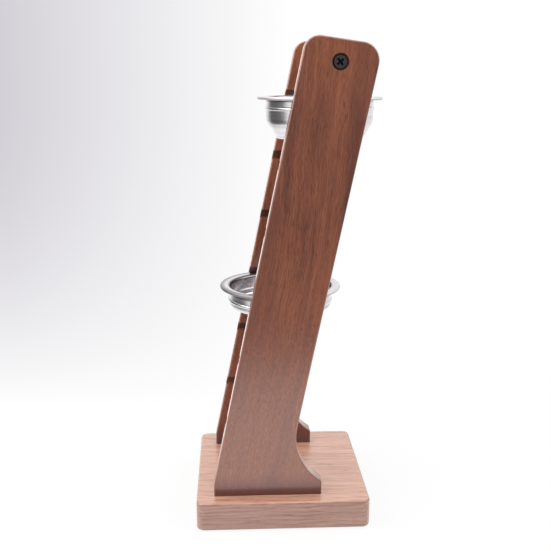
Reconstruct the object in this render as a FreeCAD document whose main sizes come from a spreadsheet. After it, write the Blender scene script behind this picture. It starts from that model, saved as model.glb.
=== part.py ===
import FreeCAD, Part
import math
import os
import Sketcher
from FreeCAD import Vector

# Stand for the filter baskets of an espresso portafilter.
# Two leaning side panels on a board carry the baskets' rims in level grooves.
# X runs across the two panels, Y from the open front to the back, and Z up.
# The origin is the centre of the board's footprint on the surface that the stand rests on.

# Driving dimensions, in millimetres and degrees.
SIZES = {
    "board_width": 98.5,
    "board_depth": 98.0,
    "board_thickness": 16.7,
    "board_corner": 4.5,
    "board_top_round": 1.2,
    "board_foot_round": 2.0,
    "panel_thickness": 9.0,
    "panel_width": 40.2,
    "panel_height": 250.8,
    "panel_lean": 11.5,
    "panel_setback": 10.0,
    "panel_edge_round": 0.9,
    "top_slope": 8.1,
    "top_front_corner": 8.2,
    "top_back_corner": 9.5,
    "kink_height": 7.4,
    "foot_length": 61.0,
    "foot_toe": 8.2,
    "toe_round": 1.6,
    "foot_sweep": 31.0,
    "groove_count": 6,
    "groove_height": 5.0,
    "groove_start": 40.7,
    "top_groove_drop": 31.1,
    "groove_end_wall": 5.9,
    "rim_clearance": 0.5,
    "rim_play": 0.25,
    "hang_clearance": 1.1,
    "basket_radius": 29.9,
    "flange_width": 5.1,
    "sheet_gauge": 0.7,
    "double_level": 6,
    "double_rim": 1.8,
    "double_bead_drop": 4.7,
    "double_shoulder": 11.7,
    "double_cone_height": 9.7,
    "double_taper": 5.7,
    "shallow_level": 3,
    "shallow_rim": 2.2,
    "shallow_bead_drop": 6.4,
    "shallow_foot_height": 3.3,
    "shallow_draft": 0.5,
    "bead_height": 0.55,
    "bead_radius": 1.3,
    "shoulder_round": 7.0,
    "floor_round": 2.2,
    "mouth_round": 0.9,
    "crossbar_radius": 9.0,
    "crossbar_drop": 11.3,
    "head_radius": 3.5,
    "head_height": 2.0,
    "head_round": 0.6,
    "head_clearance": 0.9,
    "counterbore_depth": 2.8,
    "shank_radius": 1.95,
    "shank_clearance": 0.25,
    "thread_clearance": 0.05,
    "crossbar_screw_length": 22.0,
    "screw_tip": 3.0,
    "tip_clearance": 1.0,
    "recess_span": 4.2,
    "recess_width": 1.1,
    "recess_depth": 1.3,
    "recess_turn": 40.0,
    "countersink_radius": 4.0,
    "countersink_clearance": 0.1,
    "head_sink": 0.4,
    "base_screw_length": 35.0,
    "base_screw_setback": 12.0,
    "base_screw_spacing": 28.0,
}

# Places and sizes that follow from the driving dimensions.
PLACES = {
    "inner_half": "Sizes.basket_radius + Sizes.hang_clearance",
    "flange_radius": "Sizes.basket_radius + Sizes.flange_width",
    "groove_depth": "Sizes.flange_width + Sizes.rim_clearance - Sizes.hang_clearance",
    "groove_round": "Sizes.groove_height / 2",
    "panel_front": "Sizes.panel_setback - Sizes.board_depth / 2",
    "top_middle": "panel_front + (Sizes.panel_height - Sizes.kink_height) * tan(Sizes.panel_lean)"
                  " + Sizes.panel_width / 2",
    "groove_front": "panel_front + (Sizes.groove_start + groove_round - Sizes.kink_height)"
                    " * tan(Sizes.panel_lean)",
    "groove_end": "groove_front + Sizes.panel_width - Sizes.groove_end_wall - groove_round",
    "groove_pitch": "(Sizes.panel_height - Sizes.top_groove_drop - Sizes.groove_start)"
                    " / (Sizes.groove_count - 1)",
    "groove_step_back": "groove_pitch * tan(Sizes.panel_lean)",
    "groove_step": "groove_pitch / cos(Sizes.panel_lean)",
    "double_depth": "Sizes.double_shoulder + Sizes.double_cone_height",
    "double_floor_radius": "Sizes.basket_radius - Sizes.double_taper",
    "shallow_step": "Sizes.shallow_bead_drop + Sizes.bead_radius",
    "shallow_depth": "shallow_step + Sizes.shallow_foot_height",
    "rim_half_chord": "sqrt(flange_radius ^ 2 - inner_half ^ 2)",
    "screw_height": "Sizes.panel_height - Sizes.crossbar_drop",
    "screw_middle": "top_middle - Sizes.crossbar_drop * tan(Sizes.panel_lean)",
    "head_seat": "inner_half + Sizes.panel_thickness - Sizes.counterbore_depth",
    "counterbore_radius": "Sizes.head_radius + Sizes.head_clearance",
    "clearance_radius": "Sizes.shank_radius + Sizes.shank_clearance",
    "pilot_radius": "Sizes.shank_radius + Sizes.thread_clearance",
    "crossbar_pilot": "Sizes.crossbar_screw_length + Sizes.tip_clearance + inner_half - head_seat",
    "base_pilot": "Sizes.base_screw_length + Sizes.tip_clearance + Sizes.head_sink - Sizes.board_thickness",
    "base_screw_x": "inner_half + Sizes.panel_thickness / 2",
    "base_screw_y": "panel_front + Sizes.base_screw_setback",
    "base_hole_cut": "Sizes.countersink_radius + Sizes.countersink_clearance + Sizes.head_sink",
}

RIGHT = "+"
LEFT = "-"
FULL_TURN = 360
COUNTERSINK_ANGLE = 90
NEAR = 1e-4

doc = FreeCAD.newDocument("basket_stand")


def make_sheet(name, cells, derived):
    sheet = doc.addObject("Spreadsheet::Sheet", name)
    for row, (alias, content) in enumerate(cells.items(), start=1):
        cell = f"B{row}"
        sheet.set(f"A{row}", alias.replace("_", " "))
        sheet.set(cell, f"={content}" if derived else str(content))
        sheet.setAlias(cell, alias)
    doc.recompute()
    return sheet


def make_body(label):
    body = doc.addObject("PartDesign::Body", label)
    body.Label = label
    return body


def place(body, x="0", y="0", z="0"):
    for axis, expression in (("x", x), ("y", y), ("z", z)):
        body.setExpression(f"Placement.Base.{axis}", f"({expression}) * 1 mm")


def origin_feature(body, role):
    for feature in body.Origin.OriginFeatures:
        if feature.Role == role:
            return feature
    raise ValueError(role)


def new_sketch(body, name, role, offset=None):
    """A sketch on one of the body's own origin planes, moved along the plane's normal by an expression."""
    sketch = body.newObject("Sketcher::SketchObject", name)
    sketch.AttachmentSupport = [(origin_feature(body, role), "")]
    sketch.MapMode = "FlatFace"
    if offset:
        sketch.setExpression("AttachmentOffset.Base.z", f"({offset}) * 1 mm")
    return sketch


def value(expression):
    return float(PLACES_SHEET.evalExpression(expression))


def bind(sketch, constraint, expression, unit="mm"):
    """Adds a dimension to the sketch and ties it to an expression."""
    index = sketch.addConstraint(constraint)
    sketch.setExpression(f"Constraints[{index}]", f"({expression}) * 1 {unit}")


def at(sketch, geometry, point, x, y):
    """Fixes one point of the sketch at two expressions."""
    for kind, expression in (("DistanceX", x), ("DistanceY", y)):
        start = value(expression)
        bind(sketch, Sketcher.Constraint(kind, geometry, point, start), expression)


def polygon(sketch, corners):
    """A closed outline of straight lines through corners, each given as two expressions."""
    points = [Vector(value(x), value(y), 0) for x, y in corners]
    count = len(points)
    first = sketch.GeometryCount
    for i in range(count):
        sketch.addGeometry(Part.LineSegment(points[i], points[(i + 1) % count]), False)
    for i in range(count):
        sketch.addConstraint(Sketcher.Constraint("Coincident", first + i, 2, first + (i + 1) % count, 1))
    for i, (x, y) in enumerate(corners):
        at(sketch, first + i, 1, x, y)


def arc(sketch, centre, start, end):
    """An arc drawn anticlockwise about its centre."""
    first = math.atan2(start.y - centre.y, start.x - centre.x)
    last = math.atan2(end.y - centre.y, end.x - centre.x)
    if last < first:
        last += 2 * math.pi
    whole = Part.Circle(centre, Vector(0, 0, 1), (start - centre).Length)
    return sketch.addGeometry(Part.ArcOfCircle(whole, first, last), False)


def circle(sketch, x, y, radius):
    centre = Vector(value(x), value(y), 0)
    index = sketch.addGeometry(Part.Circle(centre, Vector(0, 0, 1), value(radius)), False)
    at(sketch, index, 3, x, y)
    bind(sketch, Sketcher.Constraint("Radius", index, value(radius)), radius)


def check_sketch(sketch):
    doc.recompute()
    if not sketch.FullyConstrained:
        raise ValueError(f"{sketch.Label} is not fully constrained")


def feature(body, kind, name, sketch, **settings):
    """A PartDesign feature made from a sketch; a setting with a leading equals sign is an expression."""
    made = body.newObject(f"PartDesign::{kind}", name)
    made.Profile = sketch
    for key, setting in settings.items():
        if isinstance(setting, str) and setting.startswith("="):
            made.setExpression(key, setting[1:])
        else:
            setattr(made, key, setting)
    doc.recompute()
    return made


def cut(body, kind, name, sketch, **settings):
    """A feature that has to remove material."""
    before = body.Tip.Shape.Volume
    made = feature(body, kind, name, sketch, **settings)
    if made.Shape.Volume > before - NEAR:
        raise ValueError(f"{name} removed nothing")
    return made


def fillet(body, name, base, radius, chosen):
    """Rounds the edges of the base feature that the test picks."""
    names = [f"Edge{i}" for i, edge in enumerate(base.Shape.Edges, start=1) if chosen(edge)]
    if not names:
        raise ValueError(f"{name} found no edge")
    made = body.newObject("PartDesign::Fillet", name)
    made.Base = (base, names)
    made.setExpression("Radius", f"{radius} * 1 mm")
    doc.recompute()
    return made


def ring_test(radius, height):
    """Picks the full circles about the vertical axis at one radius and height."""
    def chosen(edge):
        curve = edge.Curve
        if not isinstance(curve, Part.Circle):
            return False
        level = abs(curve.Center.z - value(height)) < NEAR
        return level and abs(curve.Radius - value(radius)) < NEAR
    return chosen


# Board

def make_board():
    body = make_body("base_board")
    place(body)
    sketch = new_sketch(body, "board_outline", "XY_Plane")
    half_x = "Sizes.board_width / 2"
    half_y = "Sizes.board_depth / 2"
    polygon(sketch, [
        (f"-{half_x}", f"-{half_y}"),
        (half_x, f"-{half_y}"),
        (half_x, half_y),
        (f"-{half_x}", half_y),
    ])
    check_sketch(sketch)
    slab = feature(body, "Pad", "board_slab", sketch, Length="=Sizes.board_thickness * 1 mm")
    thickness = value("Sizes.board_thickness")
    upright = fillet(body, "board_corners", slab, "Sizes.board_corner",
                     lambda edge: edge.BoundBox.ZLength > thickness - NEAR)
    top = fillet(body, "board_top_edge", upright, "Sizes.board_top_round",
                 lambda edge: edge.BoundBox.ZMin > thickness - NEAR)
    fillet(body, "board_foot_edge", top, "Sizes.board_foot_round",
           lambda edge: edge.BoundBox.ZMax < NEAR)
    holes = new_sketch(body, "screw_centres", "XY_Plane")
    for x in ("-Places.base_screw_x", "Places.base_screw_x"):
        for y in ("Places.base_screw_y", "Places.base_screw_y + Sizes.base_screw_spacing"):
            circle(holes, x, y, "Places.clearance_radius")
    check_sketch(holes)
    before = body.Tip.Shape.Volume
    drilled = body.newObject("PartDesign::Hole", "screw_holes")
    drilled.Profile = holes
    doc.recompute()
    drilled.ThreadType = 0
    drilled.DepthType = "ThroughAll"
    drilled.Reversed = True
    drilled.setExpression("Diameter", "Places.clearance_radius * 2 mm")
    drilled.HoleCutType = "Countersink"
    drilled.HoleCutCustomValues = True
    drilled.setExpression("HoleCutDiameter", "Places.base_hole_cut * 2 mm")
    drilled.HoleCutCountersinkAngle = COUNTERSINK_ANGLE
    doc.recompute()
    if drilled.Shape.Volume > before - NEAR:
        raise ValueError("the board's screw holes removed nothing")


# Side panels

def draw_panel(sketch):
    """Outline in the panel's plane: x is back, y is up from the board's top."""
    lean = value("tan(Sizes.panel_lean)")
    slope = value("tan(Sizes.top_slope)")
    front = value("Places.panel_front")
    kink = value("Sizes.kink_height")
    width = value("Sizes.panel_width")
    height = value("Sizes.panel_height")
    middle = value("Places.top_middle")
    front_round = value("Sizes.top_front_corner")
    back_round = value("Sizes.top_back_corner")
    sweep = value("Sizes.foot_sweep")
    heel = front + value("Sizes.foot_length")
    toe = value("Sizes.foot_toe")

    def on_front(y):
        return front + (y - kink) * lean

    def on_top(x):
        return height - (x - middle) * slope

    # The sweep's centre is one radius behind the back edge, and one radius from the toe's sharp corner.
    back_at_toe = on_front(toe) + width
    reach = sweep * value("1 / cos(Sizes.panel_lean)")
    climb = value("cos(Sizes.panel_lean)")
    run = back_at_toe + reach - heel
    slant = run * lean * climb * climb
    rise = -slant + (slant * slant + (sweep * sweep - run * run) * climb * climb) ** 0.5
    centre = Vector(heel + run + rise * lean, toe + rise, 0)
    touch = centre + Vector(-climb, lean * climb, 0) * sweep
    tip = value("Sizes.toe_round")
    drop = ((sweep + tip) ** 2 - (centre.x - heel + tip) ** 2) ** 0.5
    tip_centre = Vector(heel - tip, centre.y - drop, 0)
    tip_touch = centre + (tip_centre - centre) * (sweep / (sweep + tip))

    front_top = height + (middle - on_front(height)) * slope
    back_top = height - (on_front(height) + width - middle) * slope
    points = {
        "front_foot": Vector(front, 0, 0),
        "heel": Vector(heel, 0, 0),
        "tip_low": Vector(heel, tip_centre.y, 0),
        "tip_high": tip_touch,
        "touch": touch,
        "back_low": Vector(on_front(back_top - back_round) + width, back_top - back_round, 0),
        "back_high": Vector(on_front(back_top) + width - back_round, 0, 0),
        "front_high": Vector(on_front(front_top) + front_round, 0, 0),
        "front_low": Vector(on_front(front_top - front_round), front_top - front_round, 0),
        "kink": Vector(front, kink, 0),
    }
    for name in ("back_high", "front_high"):
        points[name].y = on_top(points[name].x)

    def line(start, end):
        return sketch.addGeometry(Part.LineSegment(points[start], points[end]), False)

    sole = line("front_foot", "heel")
    back_of_toe = line("heel", "tip_low")
    tip_arc = arc(sketch, tip_centre, points["tip_low"], points["tip_high"])
    sweep_arc = arc(sketch, centre, points["touch"], points["tip_high"])
    back = line("touch", "back_low")
    back_centre = Vector(points["back_low"].x - back_round, points["back_high"].y - back_round, 0)
    back_corner = arc(sketch, back_centre, points["back_low"], points["back_high"])
    top = line("back_high", "front_high")
    front_centre = Vector(points["front_low"].x + front_round, points["front_high"].y - front_round, 0)
    front_corner = arc(sketch, front_centre, points["front_high"], points["front_low"])
    front_edge = line("kink", "front_low")
    shin = line("front_foot", "kink")
    middle_mark = sketch.addGeometry(Part.Point(Vector(middle, height, 0)), True)
    toe_mark = sketch.addGeometry(Part.Point(Vector(heel, toe, 0)), True)

    add = sketch.addConstraint
    add(Sketcher.Constraint("Coincident", sole, 2, back_of_toe, 1))
    add(Sketcher.Constraint("Tangent", back_of_toe, 2, tip_arc, 1))
    add(Sketcher.Constraint("Tangent", tip_arc, 2, sweep_arc, 2))
    add(Sketcher.Constraint("Tangent", sweep_arc, 1, back, 1))
    add(Sketcher.Constraint("Tangent", back, 2, back_corner, 1))
    add(Sketcher.Constraint("Tangent", back_corner, 2, top, 1))
    add(Sketcher.Constraint("Tangent", top, 2, front_corner, 1))
    add(Sketcher.Constraint("Tangent", front_corner, 2, front_edge, 2))
    add(Sketcher.Constraint("Coincident", front_edge, 1, shin, 2))
    add(Sketcher.Constraint("Coincident", shin, 1, sole, 1))
    add(Sketcher.Constraint("Horizontal", sole))
    add(Sketcher.Constraint("Vertical", back_of_toe))
    add(Sketcher.Constraint("Vertical", shin))
    add(Sketcher.Constraint("Parallel", back, front_edge))
    add(Sketcher.Constraint("PointOnObject", middle_mark, 1, top))
    add(Sketcher.Constraint("PointOnObject", toe_mark, 1, back_of_toe))
    add(Sketcher.Constraint("PointOnObject", toe_mark, 1, sweep_arc))
    at(sketch, sole, 1, "Places.panel_front", "0")
    at(sketch, middle_mark, 1, "Places.top_middle", "Sizes.panel_height")
    bind(sketch, Sketcher.Constraint("DistanceX", sole, 1, sole, 2, heel - front), "Sizes.foot_length")
    bind(sketch, Sketcher.Constraint("DistanceY", back_of_toe, 1, toe_mark, 1, toe), "Sizes.foot_toe")
    bind(sketch, Sketcher.Constraint("Radius", tip_arc, tip), "Sizes.toe_round")
    bind(sketch, Sketcher.Constraint("DistanceY", shin, 1, shin, 2, kink), "Sizes.kink_height")
    bind(sketch, Sketcher.Constraint("Distance", shin, 2, back, width * climb),
         "Sizes.panel_width * cos(Sizes.panel_lean)")
    bind(sketch, Sketcher.Constraint("Radius", sweep_arc, sweep), "Sizes.foot_sweep")
    bind(sketch, Sketcher.Constraint("Radius", back_corner, back_round), "Sizes.top_back_corner")
    bind(sketch, Sketcher.Constraint("Radius", front_corner, front_round), "Sizes.top_front_corner")
    upright = FreeCAD.Units.Quantity(f"{90 - value('Sizes.panel_lean')} deg")
    falling = FreeCAD.Units.Quantity(f"{180 - value('Sizes.top_slope')} deg")
    bind(sketch, Sketcher.Constraint("Angle", front_edge, upright), "90 - Sizes.panel_lean", "deg")
    bind(sketch, Sketcher.Constraint("Angle", top, falling), "180 - Sizes.top_slope", "deg")
    check_sketch(sketch)


def draw_groove(sketch):
    """The lowest groove, open past the panel's front edge and rounded at its blind end."""
    low = value("Sizes.groove_start")
    high = low + value("Sizes.groove_height")
    end = value("Places.groove_end")
    mouth = value("Places.panel_front")
    radius = value("Places.groove_round")
    floor = sketch.addGeometry(Part.LineSegment(Vector(mouth, low, 0), Vector(end, low, 0)), False)
    centre = Vector(end, low + radius, 0)
    blind = arc(sketch, centre, Vector(end, low, 0), Vector(end, high, 0))
    roof = sketch.addGeometry(Part.LineSegment(Vector(end, high, 0), Vector(mouth, high, 0)), False)
    open_end = sketch.addGeometry(Part.LineSegment(Vector(mouth, high, 0), Vector(mouth, low, 0)), False)
    climb = Vector(value("Places.groove_step_back"), value("Places.groove_pitch"), 0)
    lean_line = sketch.addGeometry(Part.LineSegment(centre, centre + climb), True)
    add = sketch.addConstraint
    add(Sketcher.Constraint("Tangent", floor, 2, blind, 1))
    add(Sketcher.Constraint("Tangent", blind, 2, roof, 1))
    add(Sketcher.Constraint("Coincident", roof, 2, open_end, 1))
    add(Sketcher.Constraint("Coincident", open_end, 2, floor, 1))
    add(Sketcher.Constraint("Horizontal", floor))
    add(Sketcher.Constraint("Horizontal", roof))
    add(Sketcher.Constraint("Vertical", open_end))
    add(Sketcher.Constraint("Coincident", lean_line, 1, blind, 3))
    at(sketch, floor, 1, "Places.panel_front", "Sizes.groove_start")
    bind(sketch, Sketcher.Constraint("Radius", blind, radius), "Places.groove_round")
    bind(sketch, Sketcher.Constraint("DistanceX", blind, 3, end), "Places.groove_end")
    at(sketch, lean_line, 2, "Places.groove_end + Places.groove_step_back",
       "Sizes.groove_start + Places.groove_round + Places.groove_pitch")
    check_sketch(sketch)


def make_panel(label, side):
    body = make_body(label)
    place(body, x=f"{side}Places.inner_half", z="Sizes.board_thickness")
    sketch = new_sketch(body, f"{label}_outline", "YZ_Plane")
    draw_panel(sketch)
    blank = feature(body, "Pad", f"{label}_blank", sketch, Reversed=(side == LEFT),
                    Length="=Sizes.panel_thickness * 1 mm")

    thickness = value("Sizes.panel_thickness")

    def on_a_face_rim(edge):
        box = edge.BoundBox
        on_face = box.XLength < NEAR and min(abs(box.XMin), abs(abs(box.XMin) - thickness)) < NEAR
        return on_face and box.ZMax > NEAR

    fillet(body, f"{label}_soft_edges", blank, "Sizes.panel_edge_round", on_a_face_rim)

    groove = new_sketch(body, f"{label}_groove", "YZ_Plane")
    draw_groove(groove)
    first = cut(body, "Pocket", f"{label}_lowest_groove", groove, Reversed=(side == RIGHT),
                Length="=Places.groove_depth * 1 mm")
    ladder = body.newObject("PartDesign::LinearPattern", f"{label}_grooves")
    ladder.Originals = [first]
    ladder.Direction = (groove, ["Axis0"])
    ladder.Mode = "Spacing"
    ladder.setExpression("Offset", "Places.groove_step * 1 mm")
    ladder.setExpression("Occurrences", "Sizes.groove_count")
    body.Tip = ladder
    doc.recompute()
    if ladder.Shape.Volume > first.Shape.Volume - NEAR:
        raise ValueError(f"{label} has one groove only")

    outer = new_sketch(body, f"{label}_screw_centre", "YZ_Plane", f"{side}Sizes.panel_thickness")
    circle(outer, "Places.screw_middle", "Places.screw_height", "Places.counterbore_radius")
    check_sketch(outer)
    cut(body, "Pocket", f"{label}_counterbore", outer, Reversed=(side == LEFT),
        Length="=Sizes.counterbore_depth * 1 mm")
    through = new_sketch(body, f"{label}_screw_hole", "YZ_Plane", f"{side}Sizes.panel_thickness")
    circle(through, "Places.screw_middle", "Places.screw_height", "Places.clearance_radius")
    check_sketch(through)
    cut(body, "Pocket", f"{label}_clearance_hole", through, Reversed=(side == LEFT), Type="ThroughAll")

    pilots = new_sketch(body, f"{label}_pilot_centres", "XY_Plane")
    for y in ("Places.base_screw_y", "Places.base_screw_y + Sizes.base_screw_spacing"):
        circle(pilots, f"{side}Sizes.panel_thickness / 2", y, "Places.pilot_radius")
    check_sketch(pilots)
    cut(body, "Pocket", f"{label}_pilot_holes", pilots, Reversed=True,
        Length="=Places.base_pilot * 1 mm")


# Crossbar

def make_crossbar():
    body = make_body("crossbar")
    place(body, y="Places.screw_middle", z="Sizes.board_thickness + Places.screw_height")
    section = new_sketch(body, "crossbar_section", "YZ_Plane")
    circle(section, "0", "0", "Sizes.crossbar_radius")
    check_sketch(section)
    feature(body, "Pad", "crossbar_dowel", section, SideType="Symmetric",
            Length="=Places.inner_half * 2 mm")
    end = new_sketch(body, "crossbar_pilot_centre", "YZ_Plane", "Places.inner_half")
    circle(end, "0", "0", "Places.pilot_radius")
    check_sketch(end)
    pilot = cut(body, "Pocket", "crossbar_pilot", end, Length="=Places.crossbar_pilot * 1 mm")
    both = body.newObject("PartDesign::Mirrored", "crossbar_pilots")
    both.Originals = [pilot]
    both.MirrorPlane = (origin_feature(body, "YZ_Plane"), [""])
    body.Tip = both
    doc.recompute()


# Screws

def draw_cross(sketch):
    """A cross recess seen end on, turned by the angle at which the screw was left."""
    span = "Sizes.recess_span / 2"
    half = "Sizes.recess_width / 2"
    corners = [(span, f"-{half}"), (span, half), (half, half), (half, span)]
    corners = corners + [(f"-({y})", x) for x, y in corners]
    corners = corners + [(f"-({x})", f"-({y})") for x, y in corners]
    kept = [corners[i] for i in (0, 1, 2, 4, 5, 6, 8, 9, 10, 12, 13, 14)]
    turn = "Sizes.recess_turn"
    polygon(sketch, [
        (f"({x}) * cos({turn}) - ({y}) * sin({turn})", f"({x}) * sin({turn}) + ({y}) * cos({turn})")
        for x, y in kept
    ])
    check_sketch(sketch)


def make_crossbar_screws():
    body = make_body("crossbar_screws")
    body.AllowCompound = True
    place(body, y="Places.screw_middle", z="Sizes.board_thickness + Places.screw_height")
    seat = "Places.head_seat"
    half = new_sketch(body, "crossbar_screw_half", "XZ_Plane")
    polygon(half, [
        (f"{seat} - Sizes.crossbar_screw_length", "0"),
        (f"{seat} + Sizes.head_height", "0"),
        (f"{seat} + Sizes.head_height", "Sizes.head_radius"),
        (seat, "Sizes.head_radius"),
        (seat, "Sizes.shank_radius"),
        (f"{seat} - Sizes.crossbar_screw_length + Sizes.screw_tip", "Sizes.shank_radius"),
    ])
    check_sketch(half)
    turned = feature(body, "Revolution", "crossbar_screw_blank", half, Angle=FULL_TURN,
                     ReferenceAxis=(half, ["H_Axis"]))
    crown = value(f"{seat} + Sizes.head_height")
    fillet(body, "crossbar_screw_crown", turned, "Sizes.head_round",
           lambda edge: edge.BoundBox.XMin > crown - NEAR)
    cross = new_sketch(body, "crossbar_screw_cross", "YZ_Plane", f"{seat} + Sizes.head_height")
    draw_cross(cross)
    cut(body, "Pocket", "crossbar_screw_recess", cross, Length="=Sizes.recess_depth * 1 mm")
    pair = body.newObject("PartDesign::Mirrored", "crossbar_screw_pair")
    pair.TransformMode = "Whole shape"
    pair.MirrorPlane = (origin_feature(body, "YZ_Plane"), [""])
    body.Tip = pair
    doc.recompute()
    expect_solids(body, 2)


def make_base_screws():
    """Four countersunk screws, driven up through the board into the ends of the panels.

    Their heads lie a little below the board's foot, so that only the board touches what it stands on.
    """
    body = make_body("base_screws")
    body.AllowCompound = True
    place(body, "-Places.base_screw_x", "Places.base_screw_y", "Sizes.head_sink")
    cone = "Sizes.countersink_radius - Sizes.shank_radius"
    half = new_sketch(body, "base_screw_half", "XZ_Plane")
    polygon(half, [
        ("0", "0"),
        ("Sizes.countersink_radius", "0"),
        ("Sizes.shank_radius", cone),
        ("Sizes.shank_radius", "Sizes.base_screw_length - Sizes.screw_tip"),
        ("0", "Sizes.base_screw_length"),
    ])
    check_sketch(half)
    feature(body, "Revolution", "base_screw_blank", half, Angle=FULL_TURN, ReferenceAxis=(half, ["V_Axis"]))
    cross = new_sketch(body, "base_screw_cross", "XY_Plane")
    draw_cross(cross)
    cut(body, "Pocket", "base_screw_recess", cross, Reversed=True, Length="=Sizes.recess_depth * 1 mm")
    for name, role, spacing in (
        ("base_screw_pair", "X_Axis", "Places.base_screw_x * 2 mm"),
        ("base_screw_four", "Y_Axis", "Sizes.base_screw_spacing * 1 mm"),
    ):
        row = body.newObject("PartDesign::LinearPattern", name)
        row.TransformMode = "Whole shape"
        row.Mode = "Spacing"
        row.Direction = (origin_feature(body, role), [""])
        row.Occurrences = 2
        row.setExpression("Offset", spacing)
        body.Tip = row
        doc.recompute()
    expect_solids(body, 4)


def expect_solids(body, count):
    if len(body.Shape.Solids) != count:
        raise ValueError(f"{body.Label} has {len(body.Shape.Solids)} solids")


# Filter baskets

def place_basket(body, level, rim):
    """Rests the rim on its pair of grooves, pushed back to within the play of their rounded ends."""
    steps = f"({level} - 1)"
    reach = f"sqrt(Places.groove_round ^ 2 - (Places.groove_round - {rim} / 2) ^ 2)"
    y = (f"Places.groove_end + {steps} * Places.groove_step_back + {reach}"
         " - Places.rim_half_chord - Sizes.rim_play")
    place(body, y=y, z=f"Sizes.board_thickness + Sizes.groove_start + {steps} * Places.groove_pitch")


def make_basket(label, level, rim, form, rounds, bead_drop):
    """A pressed steel cup with a bead round its wall and a flange at its mouth.

    form is the outline of the cup outside. rounds gives the radius of each soft edge, and the radius and
    height of the circle that it follows. The flange's underside is at height 0.
    """
    body = make_body(label)
    place_basket(body, level, rim)
    outline = new_sketch(body, f"{label}_form", "XZ_Plane")
    polygon(outline, form)
    check_sketch(outline)
    solid = feature(body, "Revolution", f"{label}_blank", outline, Angle=FULL_TURN,
                    ReferenceAxis=(outline, ["V_Axis"]))
    for number, (radius, ring, height) in enumerate(rounds, start=1):
        solid = fillet(body, f"{label}_round_{number}", solid, radius, ring_test(ring, height))

    shell = body.newObject("PartDesign::Thickness", f"{label}_shell")
    mouth_height = value(rim)
    names = [f"Face{i}" for i, face in enumerate(solid.Shape.Faces, start=1)
             if face.BoundBox.ZMin > mouth_height - NEAR]
    shell.Base = (solid, names)
    shell.Reversed = True
    shell.Join = "Intersection"
    shell.setExpression("Value", "Sizes.sheet_gauge * 1 mm")
    doc.recompute()

    inner = "Sizes.basket_radius - Sizes.sheet_gauge"
    ridge = new_sketch(body, f"{label}_bead", "XZ_Plane")
    draw_bead(ridge, "Sizes.basket_radius", "Sizes.bead_radius", bead_drop, inner)
    feature(body, "Revolution", f"{label}_ridge", ridge, Angle=FULL_TURN, ReferenceAxis=(ridge, ["V_Axis"]))
    hollow = new_sketch(body, f"{label}_bead_hollow", "XZ_Plane")
    draw_bead(hollow, inner, "Sizes.bead_radius - Sizes.sheet_gauge", bead_drop,
              f"{inner} - Sizes.sheet_gauge")
    cut(body, "Groove", f"{label}_ridge_hollow", hollow, Angle=FULL_TURN,
        ReferenceAxis=(hollow, ["V_Axis"]))

    flange = new_sketch(body, f"{label}_flange", "XZ_Plane")
    draw_flange(flange, rim)
    brim = feature(body, "Revolution", f"{label}_brim", flange, Angle=FULL_TURN,
                   ReferenceAxis=(flange, ["V_Axis"]))
    fillet(body, f"{label}_mouth", brim, "Sizes.mouth_round", ring_test(inner, rim))


def draw_bead(sketch, wall, radius, drop, root):
    """A round bead that stands bead_height past the wall, closed by a straight root inside it."""
    crest = f"({wall} + Sizes.bead_height)"
    centre_x = value(f"{crest} - ({radius})")
    size = value(radius)
    middle = -value(drop)
    inside = value(root)
    half = (size * size - (value(wall) - centre_x) ** 2) ** 0.5
    low = Vector(value(wall), middle - half, 0)
    high = Vector(value(wall), middle + half, 0)
    bead = arc(sketch, Vector(centre_x, middle, 0), low, high)
    above = sketch.addGeometry(Part.LineSegment(high, Vector(inside, high.y, 0)), False)
    back = sketch.addGeometry(Part.LineSegment(Vector(inside, high.y, 0), Vector(inside, low.y, 0)), False)
    below = sketch.addGeometry(Part.LineSegment(Vector(inside, low.y, 0), low), False)
    add = sketch.addConstraint
    add(Sketcher.Constraint("Coincident", bead, 2, above, 1))
    add(Sketcher.Constraint("Coincident", above, 2, back, 1))
    add(Sketcher.Constraint("Coincident", back, 2, below, 1))
    add(Sketcher.Constraint("Coincident", below, 2, bead, 1))
    add(Sketcher.Constraint("Horizontal", above))
    add(Sketcher.Constraint("Horizontal", below))
    add(Sketcher.Constraint("Vertical", back))
    bind(sketch, Sketcher.Constraint("Radius", bead, size), radius)
    at(sketch, bead, 3, f"{crest} - ({radius})", f"-({drop})")
    bind(sketch, Sketcher.Constraint("DistanceX", above, 1, value(wall)), wall)
    bind(sketch, Sketcher.Constraint("DistanceX", below, 2, value(wall)), wall)
    bind(sketch, Sketcher.Constraint("DistanceX", back, 1, inside), root)
    check_sketch(sketch)


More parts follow.
